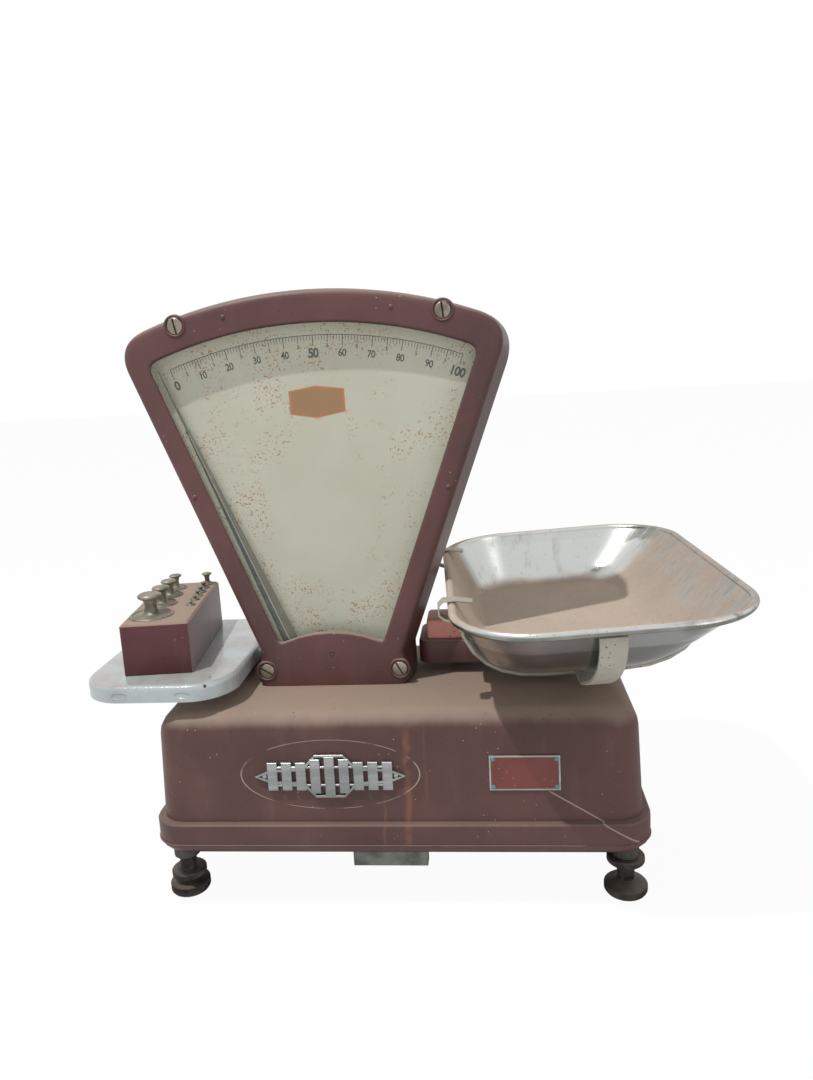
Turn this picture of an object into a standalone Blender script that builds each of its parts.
"""A counter scale with a fan dial: a loose goods pan on the right, a plate with a box of weights on the left.

Lengths are in metres. X runs to the right as the dial is read, Y away from the reader, Z up.
Heights are measured from the surface that the scale stands on. The beam lies tipped to the weights side,
where an empty goods pan leaves it, and the goods side stands at the top of its travel.
"""

import math

import bmesh
import bpy
from mathutils import Euler, Matrix, Vector

# Clearances that many pieces share
GAP = 0.0003
OVERRUN = 0.010
CORNER_STEPS = 5

# Where the head stands, and how far from it the beam carries each side
HEAD_X = -0.060
ARM_LENGTH = 0.1152

# Base casing
PLINTH_BEYOND_POST = 0.0448
PLINTH_DEPTH = 0.210
PLINTH_CLEARANCE = 0.0565
PLINTH_HEIGHT = 0.0285
BODY_HEIGHT = 0.097
BODY_INSET = 0.006
BODY_DRAFT_SHARE = 0.0395
TOP_ROUND = 0.020
SKIRT_ROUND = 0.005
LEDGE_ROUND = 0.0015
BASE_CORNER_RADIUS = 0.027
CORNER_SHRINK_SHARE = 0.5
CASING_WALL = 0.0035
PASSAGE_HALF_WIDTH = 0.036
PLINTH_LENGTH = 2 * (ARM_LENGTH - HEAD_X + PLINTH_BEYOND_POST)
PLINTH_TOP = PLINTH_CLEARANCE + PLINTH_HEIGHT
BASE_TOP = PLINTH_TOP + BODY_HEIGHT

# Chassis inside the base
CHASSIS_LIFT = 0.003
CHASSIS_THICKNESS = 0.006
FOOT_INSET_X = 0.021
FOOT_INSET_Y = 0.028
BOSS_RADIUS = 0.0118
BOSS_DROP = 0.015
COLUMN_INSET_X = 0.045
COLUMN_CLEARANCE = 0.013
COLUMN_RADIUS = 0.007
FOOT_X = PLINTH_LENGTH / 2 - FOOT_INSET_X
FOOT_Y = PLINTH_DEPTH / 2 - FOOT_INSET_Y
COLUMN_X = PLINTH_LENGTH / 2 - COLUMN_INSET_X
CHASSIS_TOP = PLINTH_CLEARANCE + CHASSIS_LIFT + CHASSIS_THICKNESS
BOSS_BOTTOM = PLINTH_CLEARANCE - BOSS_DROP

# Feet and their lock nuts
STEM_RADIUS = 0.0077
STEM_ABOVE_CHASSIS = 0.006
FOOT_TIP_RADIUS = 0.0082
FOOT_TIP_HEIGHT = 0.005
LEFT_WHEEL_RADIUS = 0.018
LEFT_WHEEL_HEIGHT = 0.011
RIGHT_WHEEL_RADIUS = 0.019
RIGHT_WHEEL_HEIGHT = 0.0095
WHEEL_BEVEL = 0.0025
WHEEL_DOME = 0.004
LEFT_NUT_RADIUS = 0.0157
RIGHT_NUT_RADIUS = 0.0165
NUT_HEIGHT = 0.007
NUT_BEVEL = 0.001
LEFT_NUT_LIFT = 0.0045

# Balance beam and check link
SWING = math.radians(3.5)
BEAM_Y = 0.028
BEAM_THICKNESS = 0.006
BEAM_DEPTH = 0.016
BEAM_END_DEPTH = 0.010
BEAM_OVERHANG = 0.008
PIVOT_RISE = 0.034
LINK_RISE = 0.014
LINK_DEPTH = 0.008
KNIFE_RADIUS = 0.003
PIN_RADIUS = 0.0025
PIVOT_Z = CHASSIS_TOP + PIVOT_RISE
LINK_Z = CHASSIS_TOP + LINK_RISE

# Brackets that carry the beam and the pointer shaft
CHEEK_THICKNESS = 0.003
CHEEK_HALF_WIDTH = 0.009
CHEEK_CLEARANCE = 0.003
CHEEK_HEAD = 0.008
BRACKET_FOOT = 0.004
BRACKET_FOOT_HALF = 0.020
SHAFT_RISE = 0.056
SHAFT_RADIUS = 0.003
SHAFT_HEAD = 0.007
FRONT_BEARING_Y = -0.009
REAR_BEARING_Y = 0.0145
BEARING_HALF_WIDTH = 0.010
SHAFT_Z = CHASSIS_TOP + SHAFT_RISE

# Pendulum, tape drum and tape on the goods side
DRUM_RATIO = 12
DRUM_WIDTH = 0.006
DRUM_Y = 0.008
PENDULUM_Y = -0.001
PENDULUM_THICKNESS = 0.006
PENDULUM_REACH = 0.034
PENDULUM_BOB_RADIUS = 0.009
PENDULUM_ARM_HALF = 0.004
PENDULUM_HUB = 0.008
PENDULUM_LEAN = math.radians(10)
TAPE_THICKNESS = 0.0004
TAPE_WIDTH = 0.005
TAPE_TAIL = 0.006
TAPE_ARM_DEPTH = 0.008
TAPE_ARM_WIDTH = 0.007
TAPE_ARM_DROP = 0.030
TAPE_ARM_BRIDGE = 0.005
TAPE_ARM_CLEAR = 0.003
DRUM_RADIUS = ARM_LENGTH / DRUM_RATIO

# Carriers that stand on the beam's ends
POST_WIDTH = 0.014
POST_THICKNESS = 0.008
POST_BELOW_LINK = 0.0055
POST_SIDE_GAP = 0.003
POST_HOLE_CLEARANCE = 0.00035
TABLE_LENGTH = 0.054
TABLE_DEPTH = 0.040
TABLE_THICKNESS = 0.004
COVER_HEIGHT = 0.023
COVER_WALL = 0.002
COVER_DEPTH = 0.060
COVER_Y = 0.028
COVER_LIFT = 0.0035
COVER_ROUND = 0.004
COVER_CORNER = 0.012
RIGHT_COVER_LENGTH = 0.076
LEFT_COVER_LENGTH = 0.064
RIGHT_COVER_SHIFT = 0.0018
LEFT_COVER_SHIFT = -0.0028
PORT_CLEARANCE = 0.004
POST_Y = BEAM_Y + BEAM_THICKNESS / 2 + POST_SIDE_GAP + POST_THICKNESS / 2
COLUMN_Y = POST_Y + POST_THICKNESS / 2 + COLUMN_RADIUS + COLUMN_CLEARANCE
RIGHT_POST_X = HEAD_X + ARM_LENGTH
LEFT_POST_X = HEAD_X - ARM_LENGTH
CARRIER_HALF_TRAVEL = ARM_LENGTH * math.sin(SWING / 2)

# Dashpot that damps the beam
DASH_REACH = 0.060
DASH_Y = 0.050
DASH_RADIUS = 0.012
DASH_WALL = 0.002
DASH_HEIGHT = 0.024
DASH_FLOOR = 0.003
PISTON_RADIUS = 0.0094
PISTON_THICKNESS = 0.004
PISTON_LIFT = 0.010
ROD_RADIUS = 0.0025
EYE_SIZE = 0.010
DASH_PIN_RADIUS = 0.002

# Head casing: two like shells that meet at a seam
FRONT_Y = -0.026
REAR_Y = 0.042
HEAD_WALL = 0.003
SIDE_ANGLE = math.radians(20.4)
HEAD_TOP_RADIUS = 0.4205
HEAD_SIDE_AT_SHAFT = 0.0328
HEAD_TOP_CORNER = 0.028
HEAD_WAIST_LIFT = 0.0315
HEAD_FOOT_HALF = 0.072
HEAD_FLANGE = 0.015
HEAD_FOOT_CORNER = 0.004
HEAD_FOOT_POINT_SHARES = (0, 0.35, 0.7)
EDGE_ROUND = 0.005
SIDE_DRAFT = 0.008
TOP_DRAFT = 0.0015
FOOT_DRAFT = 0.004
SEAM_GAP = 0.00015
SEAM_BAND = 0.004
WINDOW_TOP_FRAME = 0.0285
WINDOW_TOP_RADIUS = HEAD_TOP_RADIUS - WINDOW_TOP_FRAME
WINDOW_BOTTOM_RADIUS = 0.1128
WINDOW_SIDE_AT_SHAFT = 0.0114
WINDOW_TOP_CORNER = 0.010
WINDOW_BOTTOM_CORNER = 0.006
SEAM_Y = (FRONT_Y + REAR_Y) / 2
HEAD_BOTTOM = BASE_TOP + GAP - SHAFT_Z

# Glass and dials, front and rear alike
GLASS_MARGIN = 0.005
GLASS_THICKNESS = 0.0025
DIAL_RECESS = 0.0157
DIAL_PLATE = 0.0012
DIAL_PASSAGE_HALF = 0.049

# Pointers
POINTER_TIP_CLEARANCE = 0.007
POINTER_BLADE = 0.055
POINTER_NOTCH = 0.004
POINTER_REST = math.radians(-21.4)
POINTER_THICKNESS = 0.0012
POINTER_SETBACK = 0.010
POINTER_HUB = 0.008
POINTER_HALF = 0.0042
POINTER_WIDEST = 0.105
POINTER_WIDEST_HALF = 0.0075
POINTER_BAR_END_HALF = 0.0018
POINTER_TIP_HALF = 0.0007
POINTER_LENGTH = WINDOW_TOP_RADIUS - POINTER_TIP_CLEARANCE
POINTER_SHOULDER = POINTER_LENGTH - POINTER_BLADE
POINTER_BAR_END = POINTER_SHOULDER - POINTER_NOTCH
SHAFT_END = 0.003

# Head screws
SCREW_TOP_EDGE = 0.0075
SCREW_TOP_ANGLE = math.radians(16.5)
SCREW_FOOT_HALF = 0.063
SCREW_FOOT_RISE = 0.0757
SCREW_HEAD_RADIUS = 0.0075
SCREW_HEAD_HEIGHT = 0.0022
SCREW_SHANK_RADIUS = 0.0025
SCREW_REACH = 0.020
COUNTERBORE_DEPTH = 0.001
SLEEVE_WALL = 0.0016
SCREW_TOP_HALF = (HEAD_TOP_RADIUS - SCREW_TOP_EDGE) * math.sin(SCREW_TOP_ANGLE)
SCREW_TOP_RISE = (HEAD_TOP_RADIUS - SCREW_TOP_EDGE) * math.cos(SCREW_TOP_ANGLE)

# Plates on the casing's front
EMBLEM_LENGTH = 0.134
EMBLEM_HEIGHT = 0.040
EMBLEM_THICKNESS = 0.003
EMBLEM_X = -0.055
EMBLEM_RISE = 0.0435
EMBLEM_BAR_SHARE = 0.38
EMBLEM_SHOULDER_SHARE = 0.36
RATING_LENGTH = 0.060
RATING_HEIGHT = 0.0313
RATING_THICKNESS = 0.0012
RATING_X = 0.1123
RATING_RISE = 0.04465
STAMP_LENGTH = 0.066
STAMP_HEIGHT = 0.014
STAMP_DEPTH = 0.012
STAMP_DROP = 0.016
STAMP_X = -0.007
STAMP_SETBACK = 0.004
STAMP_NECK_SHARE = 0.4
EMBLEM_Z = PLINTH_TOP + EMBLEM_RISE
RATING_Z = PLINTH_TOP + RATING_RISE
STAMP_BOTTOM = PLINTH_CLEARANCE - STAMP_DROP

# Weights plate and the box of weights on it
PLATE_LENGTH = 0.1395
PLATE_DEPTH = 0.193
PLATE_SKIRT = 0.015
PLATE_THICKNESS = 0.002
PLATE_EDGE_ROUND = 0.005
PLATE_CORNER = 0.040
PLATE_SHIFT = -0.03505
PLATE_Y = 0.0035
BOX_LENGTH = 0.141
BOX_WIDTH = 0.062
BOX_HEIGHT = 0.048
BOX_ROUND = 0.002
BOX_SHIFT_X = -0.0095
BOX_SHIFT_Y = 0.002
BOX_YAW = 0.11
SOCKET_DEPTH = 0.034
SOCKET_CLEARANCE = 0.0005

# Knob weights: place along the box, then body radius, knob radius and knob height as shares of the largest
BOX_WALL = 0.002
SMALL_ROW_INSET = 0.0095
WEIGHT_RADIUS = 0.020
LARGE_STEPS = 20
SMALL_STEPS = 10
LARGE_WEIGHT_SHARES = (
    ("weight_1", -0.305, 1.0, 0.55, 1.0),
    ("weight_2", -0.0426, 0.725, 0.425, 0.825),
    ("weight_3", 0.1667, 0.625, 0.39, 0.75),
    ("weight_4", 0.3546, 0.525, 0.31, 0.675),
)
SMALL_WEIGHT_SHARES = (
    ("weight_5", 0.4255, 0.34, 0.25, 0.55),
    ("weight_6", 0.312, 0.29, 0.16, 0.275),
    ("weight_7", 0.2057, 0.27, 0.15, 0.25),
    ("weight_8", 0.1064, 0.25, 0.135, 0.225),
    ("weight_9", 0.0142, 0.23, 0.12, 0.16),
    ("weight_10", -0.1135, 0.21, 0.105, 0.13),
)
WEIGHT_PROUD = 0.0012
NECK_SHARE = 0.52
KNOB_EDGE_SHARE = 0.16

# Goods pan, which leans a little, with its floor parallel to its rim
PAN_LENGTH = 0.2434
PAN_DEPTH = 0.340
PAN_SHIFT = 0.1163
PAN_Y = -0.0012
PAN_YAW = 0.065
PAN_RISE_RIGHT = math.atan(0.038)
PAN_RISE_BACK = math.atan(0.011)
PAN_SHEET = 0.0015
PAN_HEIGHT = 0.0525
BEAD_RADIUS = 0.0035
FLOOR_RISE = 0.0445
FLOOR_LEFT_INSET = 0.030
FLOOR_RIGHT_INSET = 0.065
FLOOR_FRONT_INSET = 0.062
FLOOR_BACK_INSET = 0.026
PAN_FLOOR_CORNER = 0.040
PAN_RIM_CORNER = 0.0655
PAN_WALL_SHARES = ((0, 0), (0.12, 0.03), (0.26, 0.14), (0.43, 0.32), (0.62, 0.54), (0.81, 0.77), (1, 1))
PAN_PLACE = (RIGHT_POST_X + PAN_SHIFT, PAN_Y, BASE_TOP + FLOOR_RISE)
PAN_TURN = (PAN_RISE_BACK, -PAN_RISE_RIGHT, PAN_YAW)

# Cradle of two crossed straps that holds the goods pan by its walls
STRAP_WIDTH = 0.021
STRAP_THICKNESS = 0.003
HUB_X = -0.0025
HUB_Y = -0.019
HUB_DROP = 0.0334
HUB_HALF_X = 0.037
HUB_HALF_Y = 0.044
STRAP_REACH_SHARE = 0.5
STRAP_CLEARANCE = 0.0005
BEND_STEPS = 7
LONG_STRAP_DROP_SHARES = (1.0, 1.0)
CROSS_STRAP_DROP_SHARES = (0.5, 1.0)
BRACKET_WIDTH = 0.024
BRACKET_THICKNESS = 0.005
BRACKET_END = 0.012

# Clips that hook over the pan's left rim
CLIP_WIDTH = 0.012
CLIP_THICKNESS = 0.0015
CLIP_FRONT_INSET = 0.098
CLIP_BACK_INSET = 0.065
CLIP_FRONT_Y = CLIP_FRONT_INSET - PAN_DEPTH / 2
CLIP_BACK_Y = PAN_DEPTH / 2 - CLIP_BACK_INSET
CLIP_LOOP = 0.012
CLIP_INSIDE = 0.016

# Tare box on the goods side's cover
TARE_LENGTH = 0.038
TARE_DEPTH = 0.034
TARE_HEIGHT = 0.019
TARE_SHIFT_X = -0.0105
TARE_SHIFT_Y = -0.008
TARE_ROUND = 0.002


for thing in list(bpy.data.objects):
    bpy.data.objects.remove(thing, do_unlink=True)

PARTS = bpy.data.collections.new("counter_scale")
CUTTERS = bpy.data.collections.new("cutters")
bpy.context.scene.collection.children.link(PARTS)
bpy.context.scene.collection.children.link(CUTTERS)


def paint(name, colour, roughness, metallic=0.0, alpha=1.0):
    """A plain surface of one colour."""
    made = bpy.data.materials.new(name)
    made.use_nodes = True
    shader = made.node_tree.nodes["Principled BSDF"]
    shader.inputs["Base Color"].default_value = (*colour, 1.0)
    shader.inputs["Roughness"].default_value = roughness
    shader.inputs["Metallic"].default_value = metallic
    shader.inputs["Alpha"].default_value = alpha
    made.diffuse_color = (*colour, alpha)
    return made


MAROON = paint("maroon_paint", (0.115, 0.052, 0.048), 0.45)
DARK_MAROON = paint("box_paint", (0.090, 0.025, 0.028), 0.50)
DIAL_PAINT = paint("dial_paint", (0.56, 0.56, 0.45), 0.60)
GLASS = paint("window_glass", (0.85, 0.88, 0.86), 0.05, alpha=0.25)
ENAMEL = paint("white_enamel", (0.72, 0.75, 0.75), 0.18)
ALUMINIUM = paint("polished_aluminium", (0.70, 0.70, 0.68), 0.25, 1.0)
BRUSHED = paint("brushed_aluminium", (0.62, 0.61, 0.58), 0.38, 1.0)
STEEL = paint("bright_steel", (0.45, 0.44, 0.42), 0.35, 1.0)
BLACK_STEEL = paint("blackened_steel", (0.05, 0.045, 0.042), 0.45, 1.0)
CAST_IRON = paint("cast_iron", (0.10, 0.095, 0.090), 0.70)
BRASS = paint("dull_brass", (0.42, 0.36, 0.24), 0.45, 1.0)
STRAP_PAINT = paint("strap_paint", (0.50, 0.48, 0.43), 0.55)
POINTER_PAINT = paint("pointer_paint", (0.050, 0.060, 0.052), 0.50)
PLATE_RED = paint("plate_red", (0.26, 0.035, 0.030), 0.40)
TARE_RED = paint("tare_red", (0.42, 0.10, 0.09), 0.55)
ZINC = paint("stamp_zinc", (0.30, 0.30, 0.28), 0.50, 1.0)


def frame(name, parent=None, location=(0, 0, 0), rotation=(0, 0, 0)):
    """An empty that carries the pieces of one group."""
    made = bpy.data.objects.new(name, None)
    PARTS.objects.link(made)
    made.parent = parent
    made.location = location
    made.rotation_euler = rotation
    return made


def piece(name, mesh, surface, parent, location=(0, 0, 0), rotation=(0, 0, 0)):
    """One physical piece of the scale, shaded smooth except at its edges."""
    made = bpy.data.objects.new(name, mesh)
    PARTS.objects.link(made)
    made.parent = parent
    made.location = location
    made.rotation_euler = rotation
    mesh.materials.append(surface)
    mesh.shade_smooth()
    mesh.set_sharp_from_angle(angle=math.radians(32))
    return made


def helper(name, mesh, parent, location=(0, 0, 0), rotation=(0, 0, 0)):
    """A shape that only cuts a piece or is joined to one."""
    made = bpy.data.objects.new(name, mesh)
    CUTTERS.objects.link(made)
    made.parent = parent
    made.location = location
    made.rotation_euler = rotation
    made.hide_render = True
    made.display_type = "WIRE"
    return made


def combine(target, other, operation):
    """Cuts the other shape from the target, or joins it on."""
    step = target.modifiers.new(other.name, "BOOLEAN")
    step.operation = operation
    step.object = other
    step.solver = "EXACT"


def as_mesh(name, shape):
    """Writes a bmesh into a new mesh."""
    mesh = bpy.data.meshes.new(name)
    shape.to_mesh(mesh)
    shape.free()
    return mesh


def block(name, size_x, size_y, size_z):
    """A box centred on its origin."""
    shape = bmesh.new()
    bmesh.ops.create_cube(shape, size=1.0, matrix=Matrix.Diagonal((size_x, size_y, size_z, 1)))
    return as_mesh(name, shape)


def rod(name, radius, length, axis="Z", segments=16):
    """A cylinder centred on its origin."""
    turn = {
        "X": Matrix.Rotation(math.pi / 2, 4, "Y"),
        "Y": Matrix.Rotation(math.pi / 2, 4, "X"),
        "Z": Matrix.Identity(4),
    }[axis]
    shape = bmesh.new()
    bmesh.ops.create_cone(
        shape, cap_ends=True, segments=segments, radius1=radius, radius2=radius, depth=length, matrix=turn
    )
    return as_mesh(name, shape)


def loft(name, loops, cap_first=False, cap_last=False):
    """A skin through loops of like count, each anticlockwise as seen from before the first."""
    shape = bmesh.new()
    rings = [[shape.verts.new(point) for point in loop] for loop in loops]
    count = len(rings[0])
    for near, far in zip(rings, rings[1:]):
        for i in range(count):
            j = (i + 1) % count
            shape.faces.new((near[i], far[i], far[j], near[j]))
    if cap_first:
        shape.faces.new(rings[0])
    if cap_last:
        shape.faces.new(list(reversed(rings[-1])))
    return as_mesh(name, shape)


def thicken(target, wall):
    """Gives an open skin its wall, inward from the side its faces look to."""
    shell = target.modifiers.new("wall", "SOLIDIFY")
    shell.thickness = wall
    shell.offset = -1
    shell.use_even_offset = True


def turned(name, profile, surface, parent, location=(0, 0, 0), closed=False, steps=24):
    """A profile of (radius, height) points, from the top down its outer side, turned about Z."""
    mesh = bpy.data.meshes.new(name)
    edges = [(i, i + 1) for i in range(len(profile) - 1)]
    if closed:
        edges.append((len(profile) - 1, 0))
    mesh.from_pydata([(radius, 0, height) for radius, height in profile], edges, [])
    made = piece(name, mesh, surface, parent, location)
    lathe = made.modifiers.new("lathe", "SCREW")
    lathe.angle = math.tau
    lathe.steps = steps
    lathe.render_steps = steps
    lathe.use_merge_vertices = True
    lathe.merge_threshold = 0.00001
    return made


def slab(name, outline, thickness, holes=()):
    """A flat plate of (x, z) outline that stands in the XZ plane, centred on Y = 0."""
    curve = bpy.data.curves.new(name, "CURVE")
    curve.dimensions = "2D"
    curve.fill_mode = "BOTH"
    curve.extrude = thickness / 2
    for points in (outline, *holes):
        line = curve.splines.new("POLY")
        line.points.add(len(points) - 1)
        for point, (x, z) in zip(line.points, points):
            point.co = (x, z, 0, 1)
        line.use_cyclic_u = True
    flat = bpy.data.objects.new(name, curve)
    CUTTERS.objects.link(flat)
    bpy.context.view_layer.update()
    solid = bpy.data.meshes.new_from_object(flat.evaluated_get(bpy.context.evaluated_depsgraph_get()))
    bpy.data.objects.remove(flat)
    shape = bmesh.new()
    shape.from_mesh(solid)
    bpy.data.meshes.remove(solid)
    bmesh.ops.remove_doubles(shape, verts=shape.verts, dist=0.00001)
    bmesh.ops.rotate(shape, verts=shape.verts, matrix=Matrix.Rotation(math.pi / 2, 3, "X"))
    bmesh.ops.recalc_face_normals(shape, faces=shape.faces)
    return as_mesh(name, shape)


def arc(x, z, radius, start, stop, count=14):
    """Points along an arc in the XZ plane, both ends included."""
    turns = [start + (stop - start) * i / count for i in range(count + 1)]
    return [(x + radius * math.cos(turn), z + radius * math.sin(turn)) for turn in turns]


def circle(x, z, radius, count=16):
    """Points round a circle in the XZ plane."""
    turns = [math.tau * i / count for i in range(count)]
    return [(x + radius * math.cos(turn), z + radius * math.sin(turn)) for turn in turns]


def rounded_rectangle(left, right, front, back, radius, height):
    """A level loop with rounded corners, anticlockwise from above."""
    centres = (
        (right - radius, back - radius, 0),
        (left + radius, back - radius, 1),
        (left + radius, front + radius, 2),
        (right - radius, front + radius, 3),
    )
    loop = []
    for x, y, quarter in centres:
        for step in range(CORNER_STEPS + 1):
            turn = (quarter + step / CORNER_STEPS) * math.pi / 2
            loop.append(Vector((x + radius * math.cos(turn), y + radius * math.sin(turn), height)))
    return loop


def bend(before, corner, after, steps):
    """Points of a smooth turn from one side of a corner to the other, both ends included."""
    points = []
    for step in range(steps + 1):
        t = step / steps
        near, middle, far = (1 - t) ** 2, 2 * t * (1 - t), t * t
        points.append(tuple(near * a + middle * b + far * c for a, b, c in zip(before, corner, after)))
    return points


def ribbon(name, path, width, thickness):
    """A flat strip of the given thickness that follows (x, z) points, its width along Y."""
    loops = []
    for i, (x, z) in enumerate(path):
        back = path[max(i - 1, 0)]
        ahead = path[min(i + 1, len(path) - 1)]
        along = Vector((ahead[0] - back[0], ahead[1] - back[1])).normalized()
        up = Vector((-along.y, along.x)) * thickness / 2
        side = width / 2
        loops.append([
            Vector((x - up.x, -side, z - up.y)),
            Vector((x + up.x, -side, z + up.y)),
            Vector((x + up.x, side, z + up.y)),
            Vector((x - up.x, side, z - up.y)),
        ])
    return loft(name, loops, cap_first=True, cap_last=True)


def mirrored_pairs(half_x, half_y):
    """The four places of a pattern that is centred on the base."""
    return [(sx * half_x, sy * half_y) for sx in (-1, 1) for sy in (-1, 1)]


ROOT = frame("scale")


def plinth_loop(inset, height):
    """The base's outline, drawn in from the plinth's widest by the inset."""
    radius = BASE_CORNER_RADIUS - inset * CORNER_SHRINK_SHARE
    half_x = PLINTH_LENGTH / 2 - inset
    half_y = PLINTH_DEPTH / 2 - inset
    return rounded_rectangle(-half_x, half_x, -half_y, half_y, radius, height)


def body_inset(height):
    """How far the sloping walls above the plinth are drawn in at a height."""
    return BODY_INSET + (height - PLINTH_TOP) * BODY_DRAFT_SHARE


def make_base_casing():
    """The pressed casing: a plinth, a drafted body and a rounded top with its passages."""
    round_start = BASE_TOP - TOP_ROUND
    loops = []
    for step in range(CORNER_STEPS):
        turn = math.pi / 2 * step / CORNER_STEPS
        inset = body_inset(round_start) + TOP_ROUND * (1 - math.sin(turn))
        loops.append(plinth_loop(inset, round_start + TOP_ROUND * math.cos(turn)))
    loops.append(plinth_loop(body_inset(round_start), round_start))
    loops.append(plinth_loop(BODY_INSET, PLINTH_TOP))
    loops.append(plinth_loop(LEDGE_ROUND, PLINTH_TOP))
    loops.append(plinth_loop(0, PLINTH_TOP - LEDGE_ROUND))
    loops.append(plinth_loop(0, PLINTH_CLEARANCE + 2 * SKIRT_ROUND))
    loops.append(plinth_loop(SKIRT_ROUND / 4, PLINTH_CLEARANCE + SKIRT_ROUND))
    loops.append(plinth_loop(SKIRT_ROUND, PLINTH_CLEARANCE))
    casing = piece("base_casing", loft("base_casing", loops, cap_first=True), MAROON, ROOT)
    thicken(casing, CASING_WALL)
    inner_front = FRONT_Y + 2 * HEAD_WALL
    inner_rear = REAR_Y - 2 * HEAD_WALL
    tall = CASING_WALL + 2 * OVERRUN
    passage = helper(
        "pointer_passage",
        block("pointer_passage", 2 * PASSAGE_HALF_WIDTH, inner_rear - inner_front, tall),
        ROOT,
        (HEAD_X, (inner_front + inner_rear) / 2, BASE_TOP),
    )
    combine(casing, passage, "DIFFERENCE")
    for side, x in (("left", LEFT_POST_X), ("right", RIGHT_POST_X)):
        port = helper(
            side + "_post_port",
            block("port", POST_WIDTH + 2 * PORT_CLEARANCE, POST_THICKNESS + 2 * PORT_CLEARANCE, tall),
            ROOT,
            (x, POST_Y, BASE_TOP),
        )
        combine(casing, port, "DIFFERENCE")


def make_chassis():
    """The cast frame inside the plinth, with a boss for each foot and four columns under the casing's top."""
    inset = CASING_WALL + GAP
    bottom = PLINTH_CLEARANCE + CHASSIS_LIFT
    half_x = PLINTH_LENGTH / 2 - inset - SKIRT_ROUND
    half_y = PLINTH_DEPTH / 2 - inset - SKIRT_ROUND
    radius = BASE_CORNER_RADIUS - inset
    loops = [
        rounded_rectangle(-half_x, half_x, -half_y, half_y, radius, z) for z in (CHASSIS_TOP, bottom)
    ]
    chassis = piece("chassis", loft("chassis", loops, True, True), CAST_IRON, ROOT)
    boss_height = CHASSIS_TOP - BOSS_BOTTOM
    middle = BOSS_BOTTOM + boss_height / 2
    for x, y in mirrored_pairs(FOOT_X, FOOT_Y):
        boss = helper("boss", rod("boss", BOSS_RADIUS, boss_height - GAP), ROOT, (x, y, middle))
        combine(chassis, boss, "UNION")
    column_top = BASE_TOP - CASING_WALL - GAP
    height = column_top - CHASSIS_TOP + CHASSIS_THICKNESS / 2
    for x, y in mirrored_pairs(COLUMN_X, COLUMN_Y):
        mesh = rod("column", COLUMN_RADIUS, height, segments=12)
        combine(chassis, helper("column", mesh, ROOT, (x, y, column_top - height / 2)), "UNION")
    for x, y in mirrored_pairs(FOOT_X, FOOT_Y):
        mesh = rod("stem_bore", STEM_RADIUS + GAP, boss_height + 2 * OVERRUN)
        combine(chassis, helper("stem_bore", mesh, ROOT, (x, y, middle)), "DIFFERENCE")


def make_feet():
    """Four screwed feet, each with a wheel to turn it by and a nut that locks it."""
    stem_top = CHASSIS_TOP + STEM_ABOVE_CHASSIS
    for x, y in mirrored_pairs(FOOT_X, FOOT_Y):
        place = ("left" if x < 0 else "right") + ("_front" if y < 0 else "_rear")
        wheel = LEFT_WHEEL_RADIUS if x < 0 else RIGHT_WHEEL_RADIUS
        wheel_top = FOOT_TIP_HEIGHT + (LEFT_WHEEL_HEIGHT if x < 0 else RIGHT_WHEEL_HEIGHT)
        profile = [
            (0, stem_top),
            (STEM_RADIUS, stem_top),
            (STEM_RADIUS, wheel_top + WHEEL_DOME),
            (wheel - 2 * WHEEL_BEVEL, wheel_top),
            (wheel, wheel_top - WHEEL_BEVEL / 2),
            (wheel, FOOT_TIP_HEIGHT + WHEEL_BEVEL),
            (wheel - WHEEL_BEVEL, FOOT_TIP_HEIGHT),
            (FOOT_TIP_RADIUS, FOOT_TIP_HEIGHT),
            (FOOT_TIP_RADIUS, 0),
            (0, 0),
        ]
        turned(place + "_foot", profile, BLACK_STEEL, ROOT, (x, y, 0), steps=16)
        nut = LEFT_NUT_RADIUS if x < 0 else RIGHT_NUT_RADIUS
        bottom = wheel_top + LEFT_NUT_LIFT if x < 0 else BOSS_BOTTOM - GAP - NUT_HEIGHT
        bore = STEM_RADIUS + GAP
        ring = [
            (bore, NUT_HEIGHT),
            (nut - NUT_BEVEL, NUT_HEIGHT),
            (nut, NUT_HEIGHT - NUT_BEVEL),
            (nut, NUT_BEVEL),
            (nut - NUT_BEVEL, 0),
            (bore, 0),
        ]
        turned(place + "_lock_nut", ring, BLACK_STEEL, ROOT, (x, y, bottom), closed=True, steps=16)


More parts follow.
